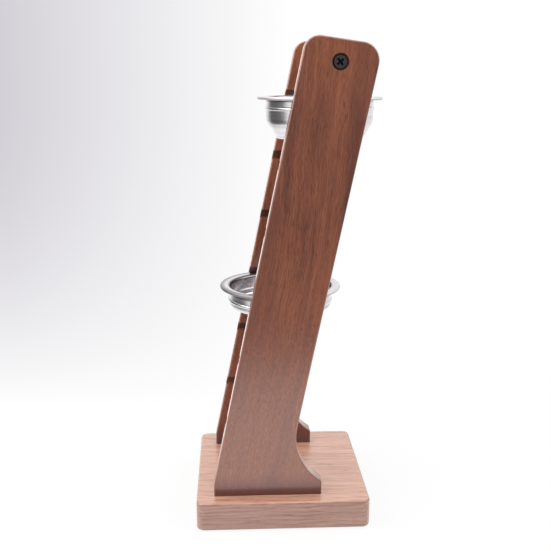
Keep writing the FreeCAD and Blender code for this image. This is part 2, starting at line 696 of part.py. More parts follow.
def draw_flange(sketch, rim):
    """The flange's section: flat on its underside, with a half-round edge."""
    thick = value(rim)
    root = value("Sizes.basket_radius - Sizes.sheet_gauge / 2")
    turn = value(f"Places.flange_radius - {rim} / 2")
    low_in = Vector(root, 0, 0)
    low_out = Vector(turn, 0, 0)
    high_out = Vector(turn, thick, 0)
    high_in = Vector(root, thick, 0)
    under = sketch.addGeometry(Part.LineSegment(low_in, low_out), False)
    edge = arc(sketch, Vector(turn, thick / 2, 0), low_out, high_out)
    over = sketch.addGeometry(Part.LineSegment(high_out, high_in), False)
    inside = sketch.addGeometry(Part.LineSegment(high_in, low_in), False)
    add = sketch.addConstraint
    add(Sketcher.Constraint("Tangent", under, 2, edge, 1))
    add(Sketcher.Constraint("Tangent", edge, 2, over, 1))
    add(Sketcher.Constraint("Coincident", over, 2, inside, 1))
    add(Sketcher.Constraint("Coincident", inside, 2, under, 1))
    add(Sketcher.Constraint("Horizontal", under))
    add(Sketcher.Constraint("Horizontal", over))
    add(Sketcher.Constraint("Vertical", inside))
    at(sketch, under, 1, "Sizes.basket_radius - Sizes.sheet_gauge / 2", "0")
    bind(sketch, Sketcher.Constraint("Radius", edge, thick / 2), f"{rim} / 2")
    bind(sketch, Sketcher.Constraint("DistanceX", edge, 3, turn), f"Places.flange_radius - {rim} / 2")
    check_sketch(sketch)


def make_double_basket():
    wall = "Sizes.basket_radius"
    shoulder = "-Sizes.double_shoulder"
    floor = "-Places.double_depth"
    floor_radius = "Places.double_floor_radius"
    form = [("0", floor), (floor_radius, floor), (wall, shoulder), (wall, "Sizes.double_rim"),
            ("0", "Sizes.double_rim")]
    rounds = [("Sizes.shoulder_round", wall, shoulder), ("Sizes.floor_round", floor_radius, floor)]
    make_basket("double_filter_basket", "Sizes.double_level", "Sizes.double_rim", form, rounds,
                "Sizes.double_bead_drop")


def make_shallow_basket():
    wall = "Sizes.basket_radius"
    floor = "-Places.shallow_depth"
    floor_radius = "Sizes.basket_radius - Sizes.shallow_draft"
    step = "-Places.shallow_step"
    form = [("0", floor), (floor_radius, floor), (wall, step), (wall, "Sizes.shallow_rim"),
            ("0", "Sizes.shallow_rim")]
    rounds = [("Sizes.floor_round", floor_radius, floor)]
    make_basket("shallow_filter_basket", "Sizes.shallow_level", "Sizes.shallow_rim", form, rounds,
                "Sizes.shallow_bead_drop")


SIZES_SHEET = make_sheet("Sizes", SIZES, False)
PLACES_SHEET = make_sheet("Places", PLACES, True)

make_board()
make_panel("right_side_panel", RIGHT)
make_panel("left_side_panel", LEFT)
make_crossbar()
make_crossbar_screws()
make_base_screws()
make_double_basket()
make_shallow_basket()
doc.recompute()

for item in doc.Objects:
    if "Invalid" in item.State or "Error" in item.State:
        raise ValueError(f"{item.Label} is {item.State}")

os.makedirs("parts", exist_ok=True)
for item in doc.Objects:
    if item.TypeId == "PartDesign::Body":
        if item.Shape.isNull() or not item.Shape.isValid():
            raise ValueError(f"{item.Label} has no valid shape")
        item.Shape.exportStep(f"parts/{item.Label}.step")
        box = item.Shape.BoundBox
        print(item.Label, len(item.Shape.Solids), round(item.Shape.Volume, 1),
              [round(c, 2) for c in (box.XMin, box.YMin, box.ZMin, box.XMax, box.YMax, box.ZMax)])
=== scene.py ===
import math
from types import SimpleNamespace

import bmesh
import bpy
from mathutils import Matrix, Vector
from mathutils.geometry import delaunay_2d_cdt


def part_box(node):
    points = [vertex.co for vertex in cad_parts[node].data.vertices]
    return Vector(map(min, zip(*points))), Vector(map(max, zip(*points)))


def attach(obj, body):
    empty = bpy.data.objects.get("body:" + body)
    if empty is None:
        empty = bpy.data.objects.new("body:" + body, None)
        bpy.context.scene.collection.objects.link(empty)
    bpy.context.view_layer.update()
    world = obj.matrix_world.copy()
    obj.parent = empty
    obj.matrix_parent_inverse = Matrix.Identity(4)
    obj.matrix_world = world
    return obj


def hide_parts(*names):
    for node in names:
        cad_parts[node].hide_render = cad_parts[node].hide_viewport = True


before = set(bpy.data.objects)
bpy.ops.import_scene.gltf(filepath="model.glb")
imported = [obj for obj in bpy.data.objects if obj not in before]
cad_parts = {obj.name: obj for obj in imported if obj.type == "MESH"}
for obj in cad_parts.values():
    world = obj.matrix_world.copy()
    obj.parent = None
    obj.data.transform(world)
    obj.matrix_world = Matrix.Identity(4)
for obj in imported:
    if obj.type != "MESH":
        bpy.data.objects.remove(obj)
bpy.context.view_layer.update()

MM = 0.001
TAU = 2 * math.pi
WHITE = (1.0, 1.0, 1.0, 1.0)

# The photograph's camera, in metres and degrees, from the board's corners, the grooves and the rims.
PHOTO_PIXELS = 551
FOCAL_PIXELS = 850.54
SENSOR = 36.0
CLIP_START = 0.01
CAMERA_AT = Vector((0.482909, -0.027542, 0.247879))
CAMERA_YAW = math.radians(2.969)
CAMERA_DOWN = math.radians(13.056)
CAMERA_ROLL = math.radians(0.155)
CAMERA_FORWARD = Vector((
    -math.cos(CAMERA_YAW) * math.cos(CAMERA_DOWN),
    math.sin(CAMERA_YAW) * math.cos(CAMERA_DOWN),
    -math.sin(CAMERA_DOWN),
))

# The side panels stand on the board. From the kink of their feet up they lean back by this angle.
LEAN = math.radians(11.5)
PANEL_LOW, PANEL_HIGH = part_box("right_side_panel")
PANEL_INNER = PANEL_LOW[0]
PANEL_OUTER = PANEL_HIGH[0]
BOARD_TOP = PANEL_LOW[2]
KINK_HEIGHT = 7.4 * MM

# The rim grooves. Two baskets with rims of these thicknesses stand in them, three grooves apart.
# GROOVE_FLOOR and GROOVE_FRONT belong to the lowest groove, two below the shallow basket's.
DOUBLE_RIM = 1.8 * MM
SHALLOW_RIM = 2.2 * MM
DOUBLE_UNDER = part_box("double_filter_basket")[1][2] - DOUBLE_RIM
SHALLOW_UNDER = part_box("shallow_filter_basket")[1][2] - SHALLOW_RIM
GROOVE_PITCH = (DOUBLE_UNDER - SHALLOW_UNDER) / 3
GROOVE_FLOOR = SHALLOW_UNDER - 2 * GROOVE_PITCH
GROOVE_FRONT = PANEL_LOW[1] + (GROOVE_FLOOR - BOARD_TOP - KINK_HEIGHT) * math.tan(LEAN)
GROOVE_HEIGHT = 5.0 * MM
GROOVE_REACH = 38.0 * MM

# The screw through the top of each panel, its counterbore and the cross in its head.
SCREW_LOW, SCREW_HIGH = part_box("crossbar_screws")
SCREW_Y = (SCREW_LOW[1] + SCREW_HIGH[1]) / 2
SCREW_Z = (SCREW_LOW[2] + SCREW_HIGH[2]) / 2
COUNTERBORE_REACH = 4.7 * MM
RECESS_REACH = 2.4 * MM

# Masks for cuts reach this far past the walls of the cut, and stay this far off the outer faces.
SKIN = 0.3 * MM


def aim(forward, roll):
    """The camera's turn for a forward direction, with its picture turned by roll."""
    right = forward.cross(Vector((0, 0, 1))).normalized()
    up = right.cross(forward)
    side = right * math.cos(roll) + up * math.sin(roll)
    top = up * math.cos(roll) - right * math.sin(roll)
    return Matrix((side, top, -forward)).transposed()


def make_camera():
    data = bpy.data.cameras.new("photo_camera")
    data.sensor_width = SENSOR
    data.lens = SENSOR * FOCAL_PIXELS / PHOTO_PIXELS
    data.clip_start = CLIP_START
    camera = bpy.data.objects.new("photo_camera", data)
    bpy.context.collection.objects.link(camera)
    camera.matrix_world = Matrix.Translation(CAMERA_AT) @ aim(CAMERA_FORWARD, CAMERA_ROLL).to_4x4()
    bpy.context.scene.camera = camera


class Tree:
    """Short names for building a node tree. A value may be a number, a tuple or another node's socket."""

    def __init__(self, owner):
        owner.use_nodes = True
        self.tree = owner.node_tree
        self.tree.nodes.clear()

    def node(self, kind, values=(), **settings):
        made = self.tree.nodes.new(kind)
        for key, setting in settings.items():
            setattr(made, key, setting)
        for key, value in dict(values).items():
            self.put(made.inputs[key], value)
        return made

    def put(self, socket, value):
        if isinstance(value, bpy.types.NodeSocket):
            self.tree.links.new(value, socket)
        else:
            socket.default_value = value

    def math(self, operation, a, b=0.0, clamp=False):
        made = self.node("ShaderNodeMath", {0: a, 1: b}, operation=operation, use_clamp=clamp)
        return made.outputs[0]

    def add(self, a, b):
        return self.math("ADD", a, b)

    def less(self, a, b):
        return self.math("SUBTRACT", a, b)

    def times(self, a, b):
        return self.math("MULTIPLY", a, b)

    def above(self, value, bound):
        return self.math("GREATER_THAN", value, bound)

    def below(self, value, bound):
        return self.math("LESS_THAN", value, bound)

    def between(self, value, low, high):
        return self.times(self.above(value, low), self.below(value, high))

    def vector(self, operation, a, b=(0.0, 0.0, 0.0)):
        made = self.node("ShaderNodeVectorMath", {0: a, 1: b}, operation=operation)
        return made.outputs["Value" if operation in ("DOT_PRODUCT", "LENGTH") else "Vector"]

    def split(self, vector):
        return self.node("ShaderNodeSeparateXYZ", {0: vector}).outputs

    def join(self, x, y, z):
        return self.node("ShaderNodeCombineXYZ", {0: x, 1: y, 2: z}).outputs[0]

    def span(self, value, low, high, to_low=0.0, to_high=1.0, smooth=False):
        """The range from low to high, mapped to another range and held within it."""
        made = self.node("ShaderNodeMapRange", {0: value, 1: low, 2: high, 3: to_low, 4: to_high})
        if smooth:
            made.interpolation_type = "SMOOTHSTEP"
        return made.outputs[0]

    def place(self):
        """Where a point lies on its piece, in metres."""
        return self.node("ShaderNodeTexCoord").outputs["Object"]

    def facing(self):
        """Which way a face of the mesh looks, as x, y and z."""
        return self.split(self.node("ShaderNodeNewGeometry").outputs["True Normal"])

    def noise(self, vector, stretch, detail=2.0, roughness=0.5):
        """Noise with its own scale along each axis, as (x, y, z) cells a metre."""
        scaled = self.vector("MULTIPLY", vector, stretch)
        made = self.node("ShaderNodeTexNoise", {
            "Vector": scaled,
            "Scale": 1.0,
            "Detail": detail,
            "Roughness": roughness,
        })
        return made.outputs["Fac"]

    def wave(self, vector, stretch, reach, detail=2.0, roughness=0.5):
        """Noise about zero, of which reach is the whole swing."""
        return self.times(self.less(self.noise(vector, stretch, detail, roughness), 0.5), reach)

    def mix(self, factor, a, b, blend="MIX"):
        """Colour a where the factor is 0, and b on it where the factor is 1."""
        made = self.node("ShaderNodeMix", {0: factor, 6: a, 7: b}, data_type="RGBA", blend_type=blend)
        return made.outputs[2]

    def ramp(self, factor, stops):
        made = self.node("ShaderNodeValToRGB", {0: factor})
        elements = made.color_ramp.elements
        while len(elements) < len(stops):
            elements.new(1.0)
        for element, (position, shade) in zip(elements, stops):
            element.position = position
            element.color = shade
        return made.outputs["Color"]

    def levels(self, factor, stops):
        """A ramp of plain greys, each stop a position and a level."""
        return self.ramp(factor, [(position, (level, level, level, 1.0)) for position, level in stops])

    def bump(self, height, strength, distance):
        made = self.node("ShaderNodeBump", {"Height": height, "Strength": strength, "Distance": distance})
        return made.outputs[0]

    def output(self, kind, shader):
        self.node(kind, {"Surface": shader})

    def surface(self, values):
        """The material's shader, from the values of its sockets."""
        shader = self.node("ShaderNodeBsdfPrincipled", values)
        self.output("ShaderNodeOutputMaterial", shader.outputs[0])


def color(red, green, blue):
    """A linear colour from the 0 to 255 values that a picture shows."""
    def linear(value):
        share = value / 255
        return share / 12.92 if share <= 0.04045 else ((share + 0.055) / 1.055) ** 2.4
    return linear(red), linear(green), linear(blue), 1.0


def from_screw(tree, place):
    """Distance from the axis of the screws at the top of the panels."""
    centre = tree.join(0.0, SCREW_Y, SCREW_Z)
    flat = tree.vector("MULTIPLY", tree.vector("SUBTRACT", place, centre), (0.0, 1.0, 1.0))
    return tree.vector("LENGTH", flat)


# Woods

# What the fibres add to the relief and to the roughness, and how strong and deep the relief is.
FIBRE_RELIEF = 0.5
FIBRE_ROUGH = 0.12
RELIEF_STRENGTH = 0.25
RELIEF_DEPTH = 0.06 * MM

# Bare walnut from its palest tone to its darkest, and its patches and pores, the painted shade in its
# grooves and counterbores and the painted highlight on its front edges.
WALNUT_TONES = (
    (0.0, color(178, 104, 68)),
    (0.3, color(153, 85, 55)),
    (0.5, color(133, 71, 46)),
    (0.7, color(111, 57, 38)),
    (1.0, color(74, 36, 26)),
)
WALNUT_MAUVE = color(112, 58, 52)
WALNUT_WARM = color(136, 80, 46)
WALNUT_PORE = color(54, 27, 19)
WALNUT_RECESS_SHADE = color(42, 22, 15)
WALNUT_FRONT_HIGHLIGHT = color(232, 150, 112)
WALNUT_RINGS_A_METRE = 430.0

# The grain runs along the lean, and turns upright from this far along it, by this slope.
BEND_START = 0.15
BEND_SLOPE = 0.11

# Low down on the panels the grain is calmer, close to one tone, and mottled instead.
CALM_TOP = 0.16
CALM_LOW = 0.085
CALM_SHARE = 0.45
CALM_TONE = 0.42
CALM_MOTTLE = 2.4

# A foot's painted shade, where the panel meets the board: its reach above the board, its depth, its two
# tones and the waver of its edge.
FOOT_SHADE_REACH = 16.0 * MM
FOOT_SHADE_DEPTH = 0.97
FOOT_SHADE_THIN = color(126, 34, 14)
FOOT_SHADE_DEEP = color(70, 12, 4)
FOOT_SHADE_WAVER = 12.0 * MM


def grain_space(tree, turn, shift):
    """Coordinates in metres with the grain along z. shift is the piece's own place in the trunk."""
    values = {"Vector": tree.place(), "Rotation": turn}
    turned = tree.node("ShaderNodeMapping", values, vector_type="TEXTURE")
    return tree.vector("ADD", turned.outputs[0], shift)


def ring_distance(tree, grain, pith, tilt, waves):
    """Distance from the trunk's axis, which lies at pith and leans by tilt, bent by slow waves."""
    z = tree.split(grain)[2]
    drift = tree.vector("MULTIPLY", tree.join(z, z, 0.0), (*tilt, 0.0))
    flat = tree.vector("MULTIPLY", grain, (1.0, 1.0, 0.0))
    moved = tree.vector("ADD", tree.vector("SUBTRACT", flat, (*pith, 0.0)), drift)
    distance = tree.vector("LENGTH", moved)
    for stretch, reach in waves:
        distance = tree.add(distance, tree.wave(grain, stretch, reach))
    return distance


def streak_band(tree, grain, across, half_width, low, high, fade):
    """A soft band along the grain: its middle across the grain, and the stretch that it fills."""
    _, y, z = tree.split(grain)
    wander = tree.wave(grain, (0.0, 9.0, 14.0), 0.009)
    off = tree.math("ABSOLUTE", tree.less(tree.add(y, wander), across))
    side = tree.span(off, half_width, 0.0, smooth=True)
    lower_end = tree.span(z, low, low + fade, smooth=True)
    upper_end = tree.span(z, high, high - fade, smooth=True)
    return tree.times(side, tree.times(lower_end, upper_end))


def bent(tree, grain):
    """The grain of a board that was sawn off the straight: upright above, and wavering all the way."""
    x, y, z = tree.split(grain)
    past_bend = tree.math("MAXIMUM", tree.less(z, BEND_START), 0.0)
    slow = tree.wave(grain, (14.0, 26.0, 16.0), 0.006)
    quick = tree.wave(grain, (90.0, 150.0, 75.0), 0.0016)
    moved = tree.add(tree.add(y, tree.times(past_bend, BEND_SLOPE)), tree.add(slow, quick))
    return tree.join(x, moved, z)


def finish_wood(tree, tone, fibre, pore, rough, ior, coat_rough, coat_ior):
    """Fibres and open pores as a fine relief under a clear coat."""
    relief = tree.less(tree.times(fibre, FIBRE_RELIEF), pore)
    tree.surface({
        "Base Color": tone,
        "Roughness": tree.add(rough, tree.times(fibre, FIBRE_ROUGH)),
        "IOR": ior,
        "Coat Weight": 1.0,
        "Coat Roughness": coat_rough,
        "Coat IOR": coat_ior,
        "Normal": tree.bump(relief, RELIEF_STRENGTH, RELIEF_DEPTH),
    })


def recess_shade_mask(tree):
    """One where shade is painted, on the faces that a router cut: walls of the rim grooves and of the
    screws' counterbores.
    """
    place = tree.place()
    x, y, z = tree.split(place)
    inside = tree.between(tree.math("ABSOLUTE", x), PANEL_INNER + SKIN, PANEL_OUTER - SKIN)
    lean = tree.times(tree.less(z, GROOVE_FLOOR), math.tan(LEAN))
    behind_front = tree.less(tree.less(y, GROOVE_FRONT), lean)
    across = tree.between(behind_front, 2 * SKIN, GROOVE_REACH)
    level = tree.math("MODULO", tree.less(z, GROOVE_FLOOR - SKIN), GROOVE_PITCH)
    in_groove = tree.between(level, 1.5 * SKIN, GROOVE_HEIGHT + 2 * SKIN)
    height = tree.times(in_groove, tree.above(z, GROOVE_FLOOR - SKIN))
    bore = tree.below(from_screw(tree, place), COUNTERBORE_REACH)
    return tree.times(inside, tree.math("MAXIMUM", tree.times(across, height), bore))


def walnut_darkness(tree, grain, fibre, pith, tilt, bands):
    """How dark the bare wood is, from its growth rings, streaks, fibres, flecks and the given bands."""
    waves = (((26.0, 26.0, 5.0), 0.012), ((130.0, 130.0, 22.0), 0.0016))
    distance = ring_distance(tree, grain, pith, tilt, waves)
    rings = tree.math("FRACT", tree.times(distance, WALNUT_RINGS_A_METRE))
    late = tree.levels(rings, ((0.0, 0.62), (0.12, 0.25), (0.6, 0.45), (0.9, 1.0), (1.0, 0.62)))
    shown = tree.span(tree.noise(grain, (70.0, 70.0, 6.0)), 0.35, 0.7)
    streak = tree.noise(grain, (360.0, 360.0, 14.0), 4.0, 0.65)
    fleck = tree.noise(grain, (1300.0, 1300.0, 260.0), 2.0, 0.6)
    dark = tree.times(tree.times(late, shown), 0.2)
    dark = tree.add(dark, tree.times(tree.span(streak, 0.3, 0.72), 0.34))
    dark = tree.add(dark, tree.times(tree.span(fibre, 0.28, 0.72), 0.3))
    dark = tree.add(dark, tree.times(tree.span(fleck, 0.3, 0.7), 0.2))
    for across, half_width, low, high, fade, weight in bands:
        band = streak_band(tree, grain, across, half_width, low, high, fade)
        dark = tree.add(dark, tree.times(band, weight))
    return dark


def with_foot_shade(tree, tone, place, reach, depth):
    """The tone with a foot's painted shade on it, deepest at the board, with an uneven upper edge."""
    edge = tree.add(reach, tree.wave(place, (0.0, 90.0, 0.0), FOOT_SHADE_WAVER))
    over_board = tree.less(tree.split(place)[2], BOARD_TOP)
    foot_shade = tree.span(over_board, edge, 0.0, 0.0, depth, smooth=True)
    return tree.mix(foot_shade, tone, tree.mix(foot_shade, FOOT_SHADE_THIN, FOOT_SHADE_DEEP))


def make_walnut(
    name, turn, shift, pith, tilt, bands=(), shade_reach=FOOT_SHADE_REACH, shade_depth=FOOT_SHADE_DEPTH,
):
    """Satin walnut: growth rings, streaks, fine fibres and short open pores under a clear coat."""
    material = bpy.data.materials.new(name)
    tree = Tree(material)
    place = tree.place()
    grain = bent(tree, grain_space(tree, turn, shift))
    fibre = tree.noise(grain, (1500.0, 1500.0, 60.0), 3.0, 0.65)
    pore = tree.span(tree.noise(grain, (2300.0, 2300.0, 150.0), 1.0), 0.6, 0.68)

    # Low down the darkness nears one tone, with a mottle on it.
    dark = walnut_darkness(tree, grain, fibre, pith, tilt, bands)
    calm = tree.span(tree.split(place)[2], CALM_TOP, CALM_LOW, 0.0, CALM_SHARE, smooth=True)
    dark = tree.add(dark, tree.times(calm, tree.less(CALM_TONE, dark)))
    mottle = tree.wave(grain, (1000.0, 1000.0, 380.0), CALM_MOTTLE, 3.0, 0.7)
    dark = tree.add(dark, tree.times(calm, mottle))

    # Broad and narrow patches of other tones, then pores, painted shade in the grooves and counterbores,
    # a painted highlight on the front edges and painted shade at the foot.
    tone = tree.ramp(dark, WALNUT_TONES)
    mauve = tree.span(tree.noise(grain, (110.0, 110.0, 9.0), 2.0), 0.48, 0.72)
    tone = tree.mix(tree.times(mauve, 0.45), tone, WALNUT_MAUVE)
    warm = tree.span(tree.noise(grain, (210.0, 210.0, 17.0), 2.0), 0.52, 0.75)
    tone = tree.mix(tree.times(warm, 0.4), tone, WALNUT_WARM)
    open_pore = tree.times(pore, tree.less(1.0, calm))
    tone = tree.mix(tree.times(open_pore, 0.5), tone, WALNUT_PORE)
    # Painted shade: the walls of the grooves and counterbores are darkened.
    tone = tree.mix(tree.times(recess_shade_mask(tree), 0.72), tone, WALNUT_RECESS_SHADE)
    # Painted highlight: faces that look to the front are lightened, as if light and reflection caught
    # them.
    front_highlight = tree.span(tree.facing()[1], -0.6, -0.9, 0.0, 0.2)
    tone = tree.mix(front_highlight, tone, WALNUT_FRONT_HIGHLIGHT)
    # Painted shade at the foot, where the panel meets the board.
    tone = with_foot_shade(tree, tone, place, shade_reach, shade_depth)
    finish_wood(tree, tone, fibre, pore, rough=0.44, ior=1.35, coat_rough=0.2, coat_ior=1.85)
    return material


# Bare oak from its palest tone to its darkest, its pores and the painted shade on its edges.
OAK_TONES = (
    (0.0, color(230, 181, 156)),
    (0.4, color(207, 155, 129)),
    (0.7, color(182, 129, 107)),
    (1.0, color(140, 94, 78)),
)
OAK_PORE = color(116, 76, 62)
OAK_EDGE_SHADE = color(92, 60, 52)
OAK_RINGS_A_METRE = 460.0

# The board's sides and its top are multiplied by these, as painted shade on the sides and painted light
# on the top.
OAK_SIDE_SHADE = (0.73, 0.72, 0.78, 1.0)
OAK_TOP_LIGHT = (1.17, 1.21, 1.25, 1.0)

# How the board lies in its trunk.
OAK_TURN = (math.radians(90), 0.0, 0.0)
OAK_SHIFT = (0.13, 0.021, 0.4)
OAK_PITH = (0.15, -0.045)
OAK_TILT = (0.06, 0.02)


def make_oak():
    """Light oak under a satin lacquer: broad flat-sawn rings with rows of pores in each ring's start."""
    material = bpy.data.materials.new("oak_lacquered")
    tree = Tree(material)
    grain = grain_space(tree, OAK_TURN, OAK_SHIFT)
    waves = (((34.0, 34.0, 12.0), 0.007), ((150.0, 150.0, 55.0), 0.0022))
    distance = ring_distance(tree, grain, OAK_PITH, OAK_TILT, waves)
    rings = tree.math("FRACT", tree.times(distance, OAK_RINGS_A_METRE))
    late = tree.levels(rings, ((0.0, 0.95), (0.18, 0.5), (0.55, 0.2), (0.93, 0.55), (1.0, 0.95)))
    wave = tree.wave(grain, (120.0, 120.0, 60.0), 0.003)
    wavy = tree.vector("ADD", grain, tree.join(wave, wave, 0.0))
    fibre = tree.noise(wavy, (900.0, 900.0, 40.0), 3.0, 0.65)
    streak = tree.noise(wavy, (420.0, 420.0, 22.0), 4.0, 0.6)
    pore = tree.span(tree.noise(wavy, (1900.0, 1900.0, 110.0), 1.0), 0.58, 0.68)
    pore = tree.times(pore, tree.span(rings, 0.5, 0.05))

    dark = tree.add(tree.times(late, 0.24), tree.times(tree.span(streak, 0.3, 0.7), 0.36))
    dark = tree.add(dark, tree.times(tree.span(fibre, 0.3, 0.7), 0.42))
    tone = tree.ramp(dark, OAK_TONES)
    tone = tree.mix(tree.times(pore, 0.55), tone, OAK_PORE)

    # Painted light and shade: the sides are darker than the top, and the lower edge and the upper rear
    # edges are darkened as painted shade.
    x, y, z = tree.facing()
    tone = tree.mix(tree.span(z, 0.75, 0.25), tone, OAK_SIDE_SHADE, "MULTIPLY")
    tone = tree.mix(tree.span(z, 0.75, 0.98), tone, OAK_TOP_LIGHT, "MULTIPLY")
    # Painted shade along the lower edge and on the upper edges that face back and to the right.
    lower_edge_shade = tree.span(tree.split(tree.place())[2], 1.8 * MM, 0.3 * MM, 0.0, 0.85, smooth=True)
    tone = tree.mix(lower_edge_shade, tone, OAK_EDGE_SHADE)
    rear = tree.span(tree.math("MAXIMUM", y, tree.times(x, -1.0)), 0.15, 0.6, 0.0, 0.55)
    rear_edge_shade = tree.times(rear, tree.above(z, 0.1))
    tone = tree.mix(rear_edge_shade, tone, OAK_EDGE_SHADE)
    finish_wood(tree, tone, fibre, pore, rough=0.42, ior=1.5, coat_rough=0.26, coat_ior=1.6)
    return material


# Filter baskets, measured from their axis and from the underside of the flange

# Both cups: wall, flange, sheet, the bead pressed into the wall and the turn from wall to flange.
WALL_RADIUS = 29.9 * MM
FLANGE_RADIUS = 35.0 * MM
SHEET = 0.7 * MM
BEAD_HEIGHT = 0.55 * MM
BEAD_RADIUS = 1.3 * MM
UNDER_TURN = 0.5 * MM

# The turn into the mouth. In a rolled rim the land slopes down to it by this many degrees.
PLAIN_MOUTH = 0.9 * MM
ROLLED_MOUTH = 1.5 * MM
LAND_SLOPE = 9.0

# Steps in a full turn, the angle from which an edge is sharp, and how near points are joined.
TURN_STEPS = 256
SHARP_ANGLE = math.radians(40)
WELD = 1e-6

# The floor's plate ends this far inside the floor's corner, and its holes this far inside its edge.
FLOOR_MARGIN = 4.0 * MM
HOLE_MARGIN = 1.2 * MM
HOLE_SIDES = 10
HOLE_RADIUS = 0.32 * MM
HOLE_PITCH = 1.55 * MM
HOLE_ROW = HOLE_PITCH * math.sqrt(3) / 2

# rim is the flange's thickness. The cone starts at the shoulder, below the bead.
DOUBLE_CUP = SimpleNamespace(
    floor_radius=24.2 * MM,
    shoulder=11.7 * MM,
    depth=21.4 * MM,
    rim=DOUBLE_RIM,
    bead_drop=4.7 * MM,
    shoulder_round=7.0 * MM,
    floor_round=2.2 * MM,
    rolled=False,
)
SHALLOW_CUP = SimpleNamespace(
    floor_radius=29.4 * MM,
    shoulder=7.7 * MM,
    depth=11.0 * MM,
    rim=SHALLOW_RIM,
    bead_drop=6.4 * MM,
    shoulder_round=0.0,
    floor_round=2.2 * MM,
    rolled=True,
)

# Darker steel: painted shade below the flange, on its underside, on the roll, in the mouth and below the
# bead, and faint layers.
STEEL_CORNER_SHADE = color(52, 48, 52)
STEEL_UNDER_SHADE = color(70, 66, 69)
STEEL_ROLL_SHADE = color(104, 100, 103)
STEEL_MOUTH_SHADE = color(66, 62, 65)
STEEL_LAYER = color(150, 145, 148)

# Where those parts and the rougher edge of the rim lie, by radius, depth or height. Each pair runs
# from none of it to all of it. A single value is where it starts or ends.
UNDERSIDE = (0.75 * MM, 0.3 * MM)
ROLL = (FLANGE_RADIUS - 3.4 * MM, FLANGE_RADIUS - 1.2 * MM)
ROLL_LOW = 0.3 * MM
ROLL_FRONT = (24 * MM, 2 * MM)
MOUTH = (WALL_RADIUS + 0.75 * MM, WALL_RADIUS + 0.45 * MM)
MOUTH_HEIGHT = (-0.4 * MM, 0.1 * MM)
BELOW_BEAD = (-7.6 * MM, -8.4 * MM)
RIM_EDGE = (FLANGE_RADIUS - 0.8 * MM, FLANGE_RADIUS - 0.2 * MM)
OUTER_FACE = WALL_RADIUS - 0.15 * MM
FLANGE_FACE = 0.05 * MM


def make_steel(name, pale, dull, corner, under_shade_share, painted_shade_share):
    """Polished stainless steel with faint turning marks round the axis and slight smears.

    The flange's underside is darkened as painted shade by its own share, and the wall is darkened as
    painted shade upwards to it between the two heights of corner. The last share darkens the roll, most
    at the front, the mouth and the wall below the bead, all as painted shade."""
    material = bpy.data.materials.new(name)
    tree = Tree(material)
    place = tree.place()
    x, y, z = tree.split(place)
    around = tree.vector("LENGTH", tree.join(x, y, 0.0))
    outside = tree.above(around, OUTER_FACE)
    turned = tree.noise(place, (30.0, 30.0, 5200.0), 2.0)
    smear = tree.noise(place, (55.0, 55.0, 90.0), 3.0)
    tone = tree.mix(tree.span(smear, 0.3, 0.7), dull, pale)

    # Painted shade on the wall just below the flange.
    shaded = tree.times(tree.span(z, *corner, smooth=True), tree.below(z, FLANGE_FACE))
    tone = tree.mix(tree.times(tree.times(outside, shaded), 0.75), tone, STEEL_CORNER_SHADE)
    # Painted shade on the roll, most at the front, then on the underside of the flange.
    roll = tree.times(tree.span(around, *ROLL, smooth=True), tree.above(z, ROLL_LOW))
    front = tree.span(y, *ROLL_FRONT, smooth=True)
    tone = tree.mix(tree.times(tree.times(roll, front), painted_shade_share), tone, STEEL_ROLL_SHADE)
    under = tree.times(tree.span(z, *UNDERSIDE, smooth=True), tree.above(z, -FLANGE_FACE))
    tone = tree.mix(tree.times(tree.times(outside, under), under_shade_share), tone, STEEL_UNDER_SHADE)
    # Painted shade in the mouth, and on the wall below the bead.
    within = tree.span(around, *MOUTH, smooth=True)
    mouth = tree.times(within, tree.span(z, *MOUTH_HEIGHT, smooth=True))
    tone = tree.mix(tree.times(mouth, painted_shade_share), tone, STEEL_MOUTH_SHADE)
    low = tree.times(outside, tree.span(z, *BELOW_BEAD, 0.0, 0.75, smooth=True))
    tone = tree.mix(tree.times(low, painted_shade_share), tone, STEEL_UNDER_SHADE)
    # Faint level layers all over.
    layers = tree.span(tree.noise(place, (9.0, 9.0, 620.0), 2.0), 0.35, 0.7, 0.0, 0.3)
    tone = tree.mix(layers, tone, STEEL_LAYER)

    rim_edge = tree.span(around, *RIM_EDGE, 0.0, 0.3)
    rough = tree.add(0.17, tree.add(tree.times(turned, 0.08), tree.times(smear, 0.06)))
    tree.surface({
        "Base Color": tone,
        "Metallic": 1.0,
        "Roughness": tree.add(rough, rim_edge),
        "Normal": tree.bump(turned, 0.12, 0.01 * MM),
    })
    return material


def circle(radius, sides, middle=(0.0, 0.0)):
    """Evenly spaced points on a circle."""
    points = []
    for i in range(sides):
        angle = TAU * i / sides
        points.append((middle[0] + radius * math.cos(angle), middle[1] + radius * math.sin(angle)))
    return points


def arc_points(centre, radius, start, end, steps):
    """Points on an arc of the section, from one angle in degrees to another."""
    points = []
    for i in range(steps + 1):
        angle = math.radians(start + (end - start) * i / steps)
        points.append((centre[0] + radius * math.cos(angle), centre[1] + radius * math.sin(angle)))
    return points


def rounded(before, corner, after, radius, steps=8):
    """The corner of a section between two straight runs, as an arc that touches both."""
    corner = Vector(corner)
    to_before = (Vector(before) - corner).normalized()
    to_after = (Vector(after) - corner).normalized()
    half = to_before.angle(to_after) / 2
    reach = radius / math.tan(half)
    start = corner + to_before * reach
    end = corner + to_after * reach
    centre = corner + (to_before + to_after).normalized() * (radius / math.sin(half))
    first = math.atan2(start.y - centre.y, start.x - centre.x)
    last = math.atan2(end.y - centre.y, end.x - centre.x)
    turn = (last - first + math.pi) % TAU - math.pi
    points = []
    for i in range(steps + 1):
        angle = first + turn * i / steps
        points.append((centre.x + radius * math.cos(angle), centre.y + radius * math.sin(angle)))
    return points


